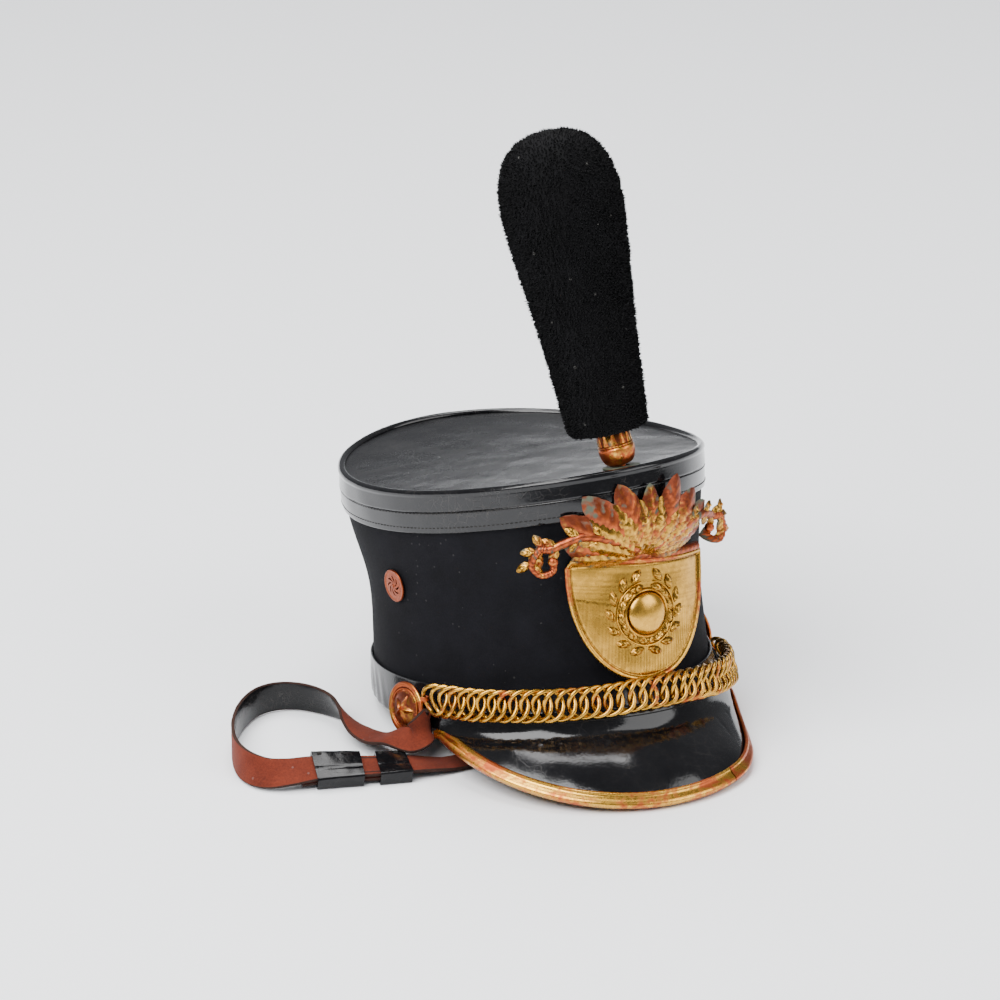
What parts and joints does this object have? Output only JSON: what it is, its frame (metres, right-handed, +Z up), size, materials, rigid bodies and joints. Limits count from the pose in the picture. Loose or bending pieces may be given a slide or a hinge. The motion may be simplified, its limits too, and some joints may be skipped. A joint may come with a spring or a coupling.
{
  "type": "shako hat",
  "caption": "Dress shako: flared wool body, patent leather crown and visor, shield plate, link chain, upright pompon and a long chin strap laid beside it.",
  "frame": {"origin": "centre of the bottom of the whole part's box, on the floor that it rests on", "axes": "+Z up; the front of the hat, its visor, is towards -Y; +X is to the viewer's right of the front"},
  "size_m": [0.2842, 0.2804, 0.3263],
  "materials": {
    "wool_cloth": "matt napped wool cloth",
    "patent_leather": "glossy, finely crazed patent leather",
    "brass": "worn brass with copper and green tarnish",
    "tarnished_copper": "tarnished copper alloy",
    "dull_tin": "dull dark metal",
    "wool_pile": "short dense wool pile",
    "strap_leather": "patent on one face, red-brown suede on the other"
  },
  "bodies": {
    "root": {"wool_body": "wool_cloth", "base_band": "patent_leather", "crown_band": "patent_leather", "crown_top": "patent_leather", "visor": "patent_leather", "visor_binding": "brass", "chin_chain": "brass", "button_left": "brass", "chain_hook_left": "tarnished_copper", "vent_left": "tarnished_copper", "button_right": "brass", "chain_hook_right": "tarnished_copper", "vent_right": "tarnished_copper", "front_plate": "brass", "socket_washer": "dull_tin", "pompon_socket": "brass", "pompon": "wool_pile", "chin_strap": "strap_leather", "strap_lap": "strap_leather", "keeper_outer": "patent_leather", "keeper_inner": "patent_leather"}
  },
  "joints": []
}
